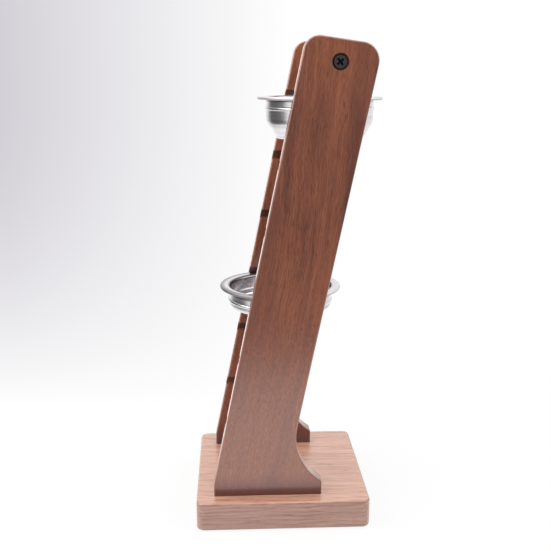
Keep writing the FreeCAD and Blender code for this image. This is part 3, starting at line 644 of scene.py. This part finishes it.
def bead_points(wall, radius, drop, steps=10):
    """The round bead on a wall, from below to above."""
    centre = wall + BEAD_HEIGHT - radius
    half = math.degrees(math.acos((wall - centre) / radius))
    return arc_points((centre, -drop), radius, -half, half, steps)


def flange_points(cup, inner):
    """The flange from its underside over its edge to its mouth. Inside a roll the land slopes down."""
    under = rounded((WALL_RADIUS, -2 * MM), (WALL_RADIUS, 0), (FLANGE_RADIUS, 0), UNDER_TURN, 4)
    middle = (FLANGE_RADIUS - cup.rim / 2, cup.rim / 2)
    if cup.rolled:
        edge = arc_points(middle, cup.rim / 2, -90, 90 + LAND_SLOPE, 20)
        land_start = edge[-1]
        land_end = land_start[1] - (land_start[0] - inner) * math.tan(math.radians(LAND_SLOPE))
        mouth = rounded(land_start, (inner, land_end), (inner, 0), ROLLED_MOUTH, 10)
    else:
        edge = arc_points(middle, cup.rim / 2, -90, 90, 12)
        mouth = rounded((FLANGE_RADIUS, cup.rim), (inner, cup.rim), (inner, 0), PLAIN_MOUTH, 6)
    return under + edge + mouth


def basket_section(cup):
    """The section of a pressed cup: up the outside from the plate, over the flange and down inside."""
    inner = WALL_RADIUS - SHEET
    bottom = -cup.depth
    floor_top = bottom + SHEET
    plate_edge = cup.floor_radius - FLOOR_MARGIN
    corner = (cup.floor_radius, bottom)
    shoulder = (WALL_RADIUS, -cup.shoulder)
    slope = Vector((WALL_RADIUS - cup.floor_radius, cup.depth - cup.shoulder)).normalized()
    corner_in = (cup.floor_radius - SHEET * (1 - slope.x) / slope.y, floor_top)
    shoulder_in = (inner, -cup.shoulder)

    outside = [(plate_edge, bottom)]
    outside += rounded((0, bottom), corner, shoulder, cup.floor_round)
    inside = list(reversed(bead_points(inner, BEAD_RADIUS - SHEET, cup.bead_drop)))
    if cup.shoulder_round:
        outside += rounded(corner, shoulder, (WALL_RADIUS, 0), cup.shoulder_round)
        inside += rounded((inner, 0), shoulder_in, corner_in, cup.shoulder_round - SHEET)
    else:
        outside.append(shoulder)
        inside.append(shoulder_in)
    outside += bead_points(WALL_RADIUS, BEAD_RADIUS, cup.bead_drop)
    inside += rounded(shoulder_in, corner_in, (0, floor_top), cup.floor_round - SHEET)
    inside.append((plate_edge, floor_top))
    return outside + flange_points(cup, inner) + inside


def new_mesh(name, vertices, faces):
    mesh = bpy.data.meshes.new(name)
    mesh.from_pydata(vertices, [], faces)
    return mesh


def revolve(name, section):
    """A ring turned about the vertical axis from a section, open where the floor's plate meets it."""
    rows = len(section)
    vertices = []
    faces = []
    for i in range(TURN_STEPS):
        angle = TAU * i / TURN_STEPS
        vertices += [(x * math.cos(angle), x * math.sin(angle), y) for x, y in section]
    for i in range(TURN_STEPS):
        here = i * rows
        there = (i + 1) % TURN_STEPS * rows
        faces += [(here + j, there + j, there + j + 1, here + j + 1) for j in range(rows - 1)]
    return new_mesh(name, vertices, faces)


def hole_middles(reach):
    """The middles of staggered rows of holes within reach, by the half pitch across and the row."""
    middles = {}
    most = int(reach / HOLE_PITCH) + 2
    for row in range(-most, most + 1):
        for column in range(-most, most + 1):
            half_pitches = 2 * column + row % 2
            middle = (half_pitches * HOLE_PITCH / 2, row * HOLE_ROW)
            if math.hypot(*middle) <= reach:
                middles[half_pitches, row] = middle
    return middles


def sieve(name, radius, low, high):
    """A disc of sheet with staggered rows of fine holes."""
    middles = hole_middles(radius - HOLE_MARGIN)
    corners = circle(radius, TURN_STEPS)
    loops = [list(range(TURN_STEPS))]
    for middle in middles.values():
        first = len(corners)
        loops.append(list(range(first, first + HOLE_SIDES)))
        corners += circle(HOLE_RADIUS, HOLE_SIDES, middle)
    edges = [(loop[i], loop[(i + 1) % len(loop)]) for loop in loops for i in range(len(loop))]
    corners = [Vector(corner) for corner in corners]
    points, _, triangles, _, _, _ = delaunay_2d_cdt(corners, edges, [], 2, 1e-7)

    def in_hole(face):
        """The triangles fill the holes too. Those have their centre near a hole's middle."""
        centre = (points[face[0]] + points[face[1]] + points[face[2]]) / 3
        near = middles.get((round(2 * centre.x / HOLE_PITCH), round(centre.y / HOLE_ROW)))
        return near is not None and (centre - Vector(near)).length < HOLE_RADIUS

    kept = [face for face in triangles if not in_hole(face)]
    count = len(points)
    vertices = [(point.x, point.y, z) for z in (high, low) for point in points]
    faces = [tuple(face) for face in kept]
    faces += [tuple(count + i for i in reversed(face)) for face in kept]
    for loop in loops[1:]:
        for i in range(len(loop)):
            a = loop[i]
            b = loop[(i + 1) % len(loop)]
            faces.append((a, b, count + b, count + a))
    return new_mesh(name, vertices, faces)


def disc(name, radius, low, high):
    """A plain disc of sheet, as two fans that meet the ring's two ends."""
    around = circle(radius, TURN_STEPS)
    vertices = [(x, y, z) for z in (low, high) for x, y in around] + [(0, 0, low), (0, 0, high)]
    below = 2 * TURN_STEPS
    above = below + 1
    faces = []
    for i in range(TURN_STEPS):
        j = (i + 1) % TURN_STEPS
        faces.append((j, i, below))
        faces.append((TURN_STEPS + i, TURN_STEPS + j, above))
    return new_mesh(name, vertices, faces)


def make_basket(node, cup, material):
    """A pressed steel cup in the place of its solid. A rolled one is blank: its floor has no holes."""
    low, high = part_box(node)
    middle = (Vector(low) + Vector(high)) / 2
    make_plate = disc if cup.rolled else sieve
    plate_edge = cup.floor_radius - FLOOR_MARGIN
    plate = make_plate(node + "_plate", plate_edge, -cup.depth, -cup.depth + SHEET)
    build = bmesh.new()
    build.from_mesh(revolve(node + "_ring", basket_section(cup)))
    build.from_mesh(plate)
    bmesh.ops.remove_doubles(build, verts=build.verts, dist=WELD)
    bmesh.ops.recalc_face_normals(build, faces=build.faces)
    for face in build.faces:
        face.smooth = True
    mesh = bpy.data.meshes.new(node + "_pressed")
    build.to_mesh(mesh)
    build.free()
    mesh.materials.append(material)
    mesh.set_sharp_from_angle(angle=SHARP_ANGLE)
    piece = bpy.data.objects.new(node + "_pressed", mesh)
    piece.location = (middle.x, middle.y, high[2] - cup.rim)
    bpy.context.collection.objects.link(piece)
    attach(piece, "root")
    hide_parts(node)


# Screws

# Black oxide's own tones, and the painted shade in the cross of a screw's head.
OXIDE_DARK = color(72, 68, 69)
OXIDE_PALE = color(106, 100, 101)
OXIDE_RECESS_SHADE = color(10, 9, 9)


def make_black_oxide():
    """Black oxide on steel: satin, slightly mottled, with painted shade in the cross of a screw's head.
    """
    material = bpy.data.materials.new("black_oxide")
    tree = Tree(material)
    place = tree.place()
    mottle = tree.noise(place, (1400.0, 1400.0, 1400.0), 3.0, 0.6)
    tone = tree.mix(mottle, OXIDE_DARK, OXIDE_PALE)
    # Painted shade: the cross in the head is near black.
    depth = tree.math("ABSOLUTE", tree.split(place)[0])
    sunk = tree.below(depth, SCREW_HIGH[0] - SKIN)
    recess_shade = tree.times(sunk, tree.below(from_screw(tree, place), RECESS_REACH))
    tree.surface({
        "Base Color": tree.mix(tree.times(recess_shade, 0.9), tone, OXIDE_RECESS_SHADE),
        "Metallic": 0.75,
        "Roughness": tree.add(0.32, tree.times(mottle, 0.16)),
        "Normal": tree.bump(mottle, 0.2, 0.02 * MM),
    })
    return material


# Surroundings

FLOOR_HALF = 30.0
FLOOR_PAPER = (0.85, 0.85, 0.85, 1.0)

# The backdrop turns to grey on the left and above, by slopes from the camera's forward direction.
GREY_TINT = color(210, 207, 214)
GREY_START = -0.017
GREY_SIDE = 0.337
GREY_DROP = 0.4
GREY_FRONT = (0.4, 0.85)
LEAST_AHEAD = 0.02

# The floor's shadow fades out round the middle of the board by this reach. It shows by this share.
SHADOW_REACH = 0.1
SHADOW_SHARE = 0.2

# What polished faces mirror: white paper in front, which ends at these x and y, in a dim room that is
# bright behind the object, on the right, in a soft box on the left and overhead. Those pairs are parts
# of a level or upward unit direction, from where the brightness starts to where it is full.
PAPER_FRONT = (0.45, 0.2)
PAPER_SIDE = (0.36, 0.26)
PAPER_BRIGHT = 1.3
ROOM_DARK = 0.15
ROOM_BRIGHT = 1.1
ROOM_BEHIND = (-0.68, -0.96)
ROOM_RIGHT = (0.0, 0.5)
ROOM_RIGHT_FRONT = (0.5, 0.1)
BOX_SIDE = (0.5, -0.866, 0.0)
BOX_EDGE = (0.88, 0.97)
CEILING = (0.1, 0.45)

# How bright the surroundings are as a light.
SKY_LIGHT = 0.4

# Square lamps: name, place, target, side in metres and watts.
LAMPS = (
    ("left_box", (0.25, -0.9, 0.75), (0, 0, 0.13), 1.0, 6.8),
    ("ceiling_box", (0.0, -0.05, 1.3), (0, 0, 0.12), 1.4, 6.9),
    ("right_box", (0.2, 0.95, 0.7), (0, 0, 0.13), 1.0, 4.8),
)


def backdrop_colour(tree, way, height):
    """The pale sweep behind the object, which turns to a cool grey on the left and above.

    way is the direction from the camera, and height how far below it the sweep is seen."""
    forward = Vector((CAMERA_FORWARD.x, CAMERA_FORWARD.y, 0)).normalized()
    left = Vector((-forward.y, forward.x, 0))
    ahead = tree.math("MAXIMUM", tree.vector("DOT_PRODUCT", way, tuple(forward)), LEAST_AHEAD)
    aside = tree.math("DIVIDE", tree.vector("DOT_PRODUCT", way, tuple(left)), ahead)
    level_way = tree.vector("NORMALIZE", tree.vector("MULTIPLY", way, (1.0, 1.0, 0.0)))
    in_front = tree.span(tree.vector("DOT_PRODUCT", level_way, tuple(forward)), *GREY_FRONT, smooth=True)
    side = tree.times(tree.span(aside, GREY_START, GREY_START + GREY_SIDE), in_front)
    drop = tree.math("DIVIDE", tree.math("MAXIMUM", height, 0.0), ahead)
    part = tree.math("DIVIDE", drop, GREY_DROP)
    up = tree.math("SUBTRACT", 1.0, tree.times(part, part), clamp=True)
    return tree.mix(tree.times(side, up), WHITE, GREY_TINT)


def mirrored_room(tree, way):
    """How bright the room looks in a mirror: pale behind and on the right, a soft box on the left."""
    flat = tree.vector("NORMALIZE", tree.vector("MULTIPLY", way, (1.0, 1.0, 0.0)))
    x, y, _ = tree.split(flat)
    behind = tree.span(x, *ROOM_BEHIND, smooth=True)
    box = tree.span(tree.vector("DOT_PRODUCT", flat, BOX_SIDE), *BOX_EDGE, smooth=True)
    right = tree.span(y, *ROOM_RIGHT, smooth=True)
    right = tree.times(right, tree.span(x, *ROOM_RIGHT_FRONT, smooth=True))
    bright = tree.math("MAXIMUM", tree.math("MAXIMUM", behind, box), right)
    return tree.span(bright, 0.0, 1.0, ROOM_DARK, ROOM_BRIGHT)


def by_ray(tree, camera, glossy, other):
    """One shader for what the camera sees, one for reflections and one for light."""
    path = tree.node("ShaderNodeLightPath").outputs
    lit = tree.node("ShaderNodeMixShader", {0: path["Is Glossy Ray"], 1: other, 2: glossy})
    shown = tree.node("ShaderNodeMixShader", {0: path["Is Camera Ray"], 1: lit.outputs[0], 2: camera})
    return shown.outputs[0]


def make_world():
    world = bpy.data.worlds.new("studio")
    bpy.context.scene.world = world
    world.cycles.sampling_method = "NONE"
    tree = Tree(world)
    way = tree.node("ShaderNodeTexCoord").outputs["Generated"]
    z = tree.split(way)[2]
    backdrop = backdrop_colour(tree, way, tree.times(z, -1.0))
    level = tree.math("MAXIMUM", mirrored_room(tree, way), tree.span(z, *CEILING, smooth=True))
    seen = tree.node("ShaderNodeBackground", {"Color": backdrop}).outputs[0]
    mirrored = tree.node("ShaderNodeBackground", {"Color": WHITE, "Strength": level}).outputs[0]
    light = tree.node("ShaderNodeBackground", {"Color": WHITE, "Strength": SKY_LIGHT}).outputs[0]
    tree.output("ShaderNodeOutputWorld", by_ray(tree, seen, mirrored, light))


def make_floor():
    """A pale floor that shows as the backdrop, with the object's soft shadow close to it."""
    half = FLOOR_HALF
    corners = [(-half, -half, 0), (half, -half, 0), (half, half, 0), (-half, half, 0)]
    mesh = new_mesh("floor", corners, [(0, 1, 2, 3)])
    floor = bpy.data.objects.new("floor", mesh)
    bpy.context.collection.objects.link(floor)
    material = bpy.data.materials.new("floor_paper")
    tree = Tree(material)
    place = tree.node("ShaderNodeNewGeometry").outputs["Position"]
    x, y, _ = tree.split(place)

    way = tree.vector("SUBTRACT", place, (CAMERA_AT.x, CAMERA_AT.y, 0.0))
    backdrop = backdrop_colour(tree, way, CAMERA_AT.z)
    glow = tree.node("ShaderNodeEmission", {"Color": backdrop, "Strength": 1.0})
    bright = tree.node("ShaderNodeBsdfDiffuse", {"Color": WHITE})
    near = tree.math("DIVIDE", tree.vector("LENGTH", place), SHADOW_REACH)
    fade = tree.math("EXPONENT", tree.times(tree.times(near, near), -1.0))
    share = tree.times(fade, SHADOW_SHARE)
    both = {0: share, 1: glow.outputs[0], 2: bright.outputs[0]}
    seen = tree.node("ShaderNodeMixShader", both).outputs[0]

    sheet_front = tree.span(x, *PAPER_FRONT, smooth=True)
    sheet_side = tree.span(tree.math("ABSOLUTE", y), *PAPER_SIDE, smooth=True)
    sheet = tree.times(sheet_front, sheet_side)
    level = tree.math("MAXIMUM", tree.times(sheet, PAPER_BRIGHT), mirrored_room(tree, place))
    mirrored = tree.node("ShaderNodeEmission", {"Color": WHITE, "Strength": level}).outputs[0]
    paper = tree.node("ShaderNodeBsdfDiffuse", {"Color": FLOOR_PAPER}).outputs[0]
    tree.output("ShaderNodeOutputMaterial", by_ray(tree, seen, mirrored, paper))
    mesh.materials.append(material)


def make_lamp(name, place, target, size, power):
    data = bpy.data.lights.new(name, "AREA")
    data.shape = "SQUARE"
    data.size = size
    data.energy = power
    lamp = bpy.data.objects.new(name, data)
    lamp.location = place
    lamp.rotation_euler = (Vector(target) - Vector(place)).to_track_quat("-Z", "Y").to_euler()
    bpy.context.collection.objects.link(lamp)


# Pieces

# How the grain is turned from upright.
LEAN_TURN = (-LEAN, 0.0, 0.0)
BAR_TURN = (0.0, math.radians(90), 0.0)

# Streaks of the near panel: middle, half width, lower end, upper end, length of the fade and darkness.
NEAR_BANDS = (
    (0.0002, 0.0065, 0.160, 0.262, 0.03, 0.28),
    (-0.0198, 0.0030, 0.128, 0.186, 0.02, 0.24),
    (-0.0184, 0.0022, 0.190, 0.258, 0.03, 0.18),
    (-0.0103, 0.0035, 0.196, 0.262, 0.03, -0.18),
    (-0.0318, 0.0045, 0.150, 0.262, 0.04, 0.14),
    (-0.0267, 0.0050, 0.170, 0.262, 0.04, -0.10),
    (-0.0080, 0.0050, 0.070, 0.135, 0.03, 0.14),
    # The last two bands span the whole width. They lighten the top, and the lower part as a painted
    # reflection of the pale floor.
    (0.0, 0.4, 0.222, 0.32, 0.025, -0.14),
    (0.0, 0.4, -0.05, 0.175, 0.05, -0.16),
)

# The far panel is lighter above, which is painted light where more light falls between the panels, and
# lighter at its foot, where its painted shade reaches further up.
FAR_BANDS = (
    (0.0, 0.4, 0.33, 0.50, 0.04, -0.42),
    (0.0, 0.4, 0.10, 0.25, 0.05, -0.12),
)


def dress(node, material):
    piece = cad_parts[node]
    piece.data.materials.clear()
    piece.data.materials.append(material)


make_camera()
make_world()
make_floor()
for lamp_facts in LAMPS:
    make_lamp(*lamp_facts)

dress("right_side_panel", make_walnut(
    "walnut_right",
    turn=LEAN_TURN,
    shift=(0.0, 0.0, 0.0),
    pith=(-0.05, -0.10),
    tilt=(0.0, 0.05),
    bands=NEAR_BANDS,
))
dress("left_side_panel", make_walnut(
    "walnut_left",
    turn=LEAN_TURN,
    shift=(0.31, 0.02, 0.17),
    pith=(0.2, -0.10),
    tilt=(0.02, 0.04),
    bands=FAR_BANDS,
    # Its painted shade at the foot reaches higher than on the near panel.
    shade_reach=30 * MM,
    shade_depth=0.92,
))
dress("crossbar", make_walnut(
    "walnut_bar",
    turn=BAR_TURN,
    shift=(0.2, 0.07, 0.5),
    pith=(0.15, 0.03),
    tilt=(0.03, 0.0),
))
dress("base_board", make_oak())
black_oxide = make_black_oxide()
dress("crossbar_screws", black_oxide)
dress("base_screws", black_oxide)
make_basket("double_filter_basket", DOUBLE_CUP, make_steel(
    "steel_polished",
    pale=color(226, 223, 225),
    dull=color(210, 206, 209),
    corner=(-1.3 * MM, -0.5 * MM),
    under_shade_share=0.2,
    painted_shade_share=0.0,
))
# The shallow basket carries more painted shade: on its roll, in its mouth and below its bead.
make_basket("shallow_filter_basket", SHALLOW_CUP, make_steel(
    "steel_shaded",
    pale=color(222, 219, 221),
    dull=color(204, 200, 203),
    corner=(-3.2 * MM, -1.9 * MM),
    under_shade_share=0.75,
    painted_shade_share=0.75,
))

bpy.context.scene.view_settings.view_transform = "Standard"
